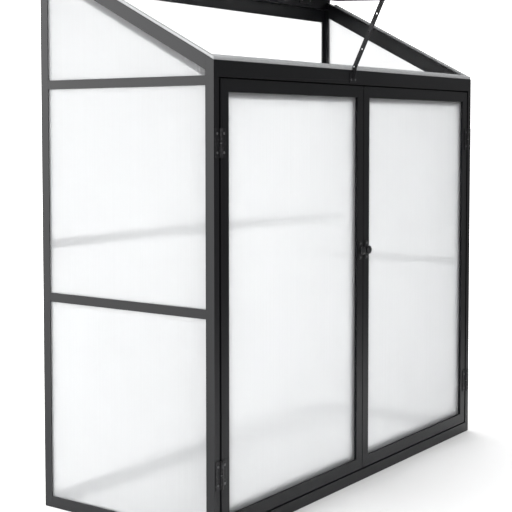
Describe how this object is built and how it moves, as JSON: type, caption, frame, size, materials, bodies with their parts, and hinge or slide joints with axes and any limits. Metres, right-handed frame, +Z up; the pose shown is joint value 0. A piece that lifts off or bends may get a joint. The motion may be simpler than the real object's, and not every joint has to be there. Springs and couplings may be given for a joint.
{
  "type": "lean-to cold frame",
  "caption": "Lean-to cold frame with a metal frame, milky twin-wall sheets, hinged front doors with turn knobs and a sloping lid held open by a folding stay.",
  "frame": {"origin": "middle of the footprint at ground level, the centre of the ground fixing holes", "axes": "+X to the right along the front as seen from in front, -Y toward the front, +Y toward the wall, +Z up"},
  "size_m": [1.32, 0.6607, 1.4],
  "materials": {
    "frame_metal": "satin anthracite powder coat",
    "door_metal": "satin anthracite powder coat",
    "lid_metal": "satin anthracite powder coat",
    "twin_wall_sheet": "milky translucent twin-wall sheet",
    "seal_rubber": "matt grey",
    "screw_steel": "blackened steel",
    "pin_steel": "bright steel",
    "hinge_metal": "black powder coat",
    "stay_metal": "black coat",
    "knob_black": "black moulded",
    "catch_plastic": "black moulded"
  },
  "bodies": {
    "frame": {"back_bottom_rail": "frame_metal", "back_left_post": "frame_metal", "back_lower_panel": "twin_wall_sheet", "back_middle_rail": "frame_metal", "back_right_post": "frame_metal", "back_top_rail": "frame_metal", "back_upper_panel": "twin_wall_sheet", "door_catches": "catch_plastic", "door_hinge_pins": "pin_steel", "frame_screws": "screw_steel", "front_header": "frame_metal", "front_left_post": "frame_metal", "front_right_post": "frame_metal", "front_sill": "frame_metal", "left_bottom_rail": "frame_metal", "left_gable_panel": "twin_wall_sheet", "left_lower_panel": "twin_wall_sheet", "left_middle_panel": "twin_wall_sheet", "left_middle_rail": "frame_metal", "left_slope_rail": "frame_metal", "left_upper_rail": "frame_metal", "lid_hinge_fixed_leaves": "hinge_metal", "lid_hinge_pins": "pin_steel", "post_hinge_leaves": "hinge_metal", "ridge_rail": "frame_metal", "right_bottom_rail": "frame_metal", "right_gable_panel": "twin_wall_sheet", "right_lower_panel": "twin_wall_sheet", "right_middle_panel": "twin_wall_sheet", "right_middle_rail": "frame_metal", "right_slope_rail": "frame_metal", "right_upper_rail": "frame_metal", "stay_bracket": "stay_metal", "stay_pin": "pin_steel", "weather_seals": "seal_rubber"},
    "left_door_leaf": {"left_door_hinge_leaves": "hinge_metal", "left_door_hinge_stile": "door_metal", "left_door_meeting_stile": "door_metal", "left_door_panel": "twin_wall_sheet", "left_door_rails": "door_metal", "left_door_screws": "screw_steel", "left_knob_plate": "knob_black"},
    "right_door_leaf": {"right_door_hinge_leaves": "hinge_metal", "right_door_hinge_stile": "door_metal", "right_door_meeting_stile": "door_metal", "right_door_panel": "twin_wall_sheet", "right_door_rails": "door_metal", "right_door_screws": "screw_steel", "right_knob_plate": "knob_black"},
    "left_latch": {"left_knob": "knob_black", "left_cam": "hinge_metal"},
    "right_latch": {"right_knob": "knob_black", "right_cam": "hinge_metal"},
    "roof_lid": {"lid_front_rail": "lid_metal", "lid_hinge_moving_leaves": "hinge_metal", "lid_panel": "twin_wall_sheet", "lid_rear_rail": "lid_metal", "lid_side_rails": "lid_metal", "stay_shoe": "stay_metal"},
    "prop_stay": {"stay": "stay_metal"}
  },
  "joints": [
    {"name": "left_door_hinge", "type": "hinge", "parent": "frame", "child": "left_door_leaf", "pos_m": [-0.62775, -0.2705, 0.536], "axis": [0, 0, -1], "range_deg": [0, 110]},
    {"name": "right_door_hinge", "type": "hinge", "parent": "frame", "child": "right_door_leaf", "pos_m": [0.62775, -0.2705, 0.536], "axis": [0, 0, 1], "range_deg": [0, 110]},
    {"name": "left_knob_turn", "type": "hinge", "parent": "left_door_leaf", "child": "left_latch", "pos_m": [-0.016, -0.2675, 0.62], "axis": [0, -1, 0], "range_deg": [0, 90]},
    {"name": "right_knob_turn", "type": "hinge", "parent": "right_door_leaf", "child": "right_latch", "pos_m": [0.016, -0.2675, 0.62], "axis": [0, 1, 0], "range_deg": [0, 90]},
    {"name": "lid_hinge", "type": "hinge", "parent": "frame", "child": "roof_lid", "pos_m": [0, 0.2375, 1.37665], "axis": [-1, 0, 0], "range_deg": [-24.65, 14]},
    {"name": "stay_fold", "type": "hinge", "parent": "frame", "child": "prop_stay", "pos_m": [-0.057, -0.274, 1.103], "axis": [-1, 0, 0], "range_deg": [-136, 78]}
  ],
  "couplings": [
    {"joint": "stay_fold", "follows": "lid_hinge", "ratio": 5.5}
  ]
}
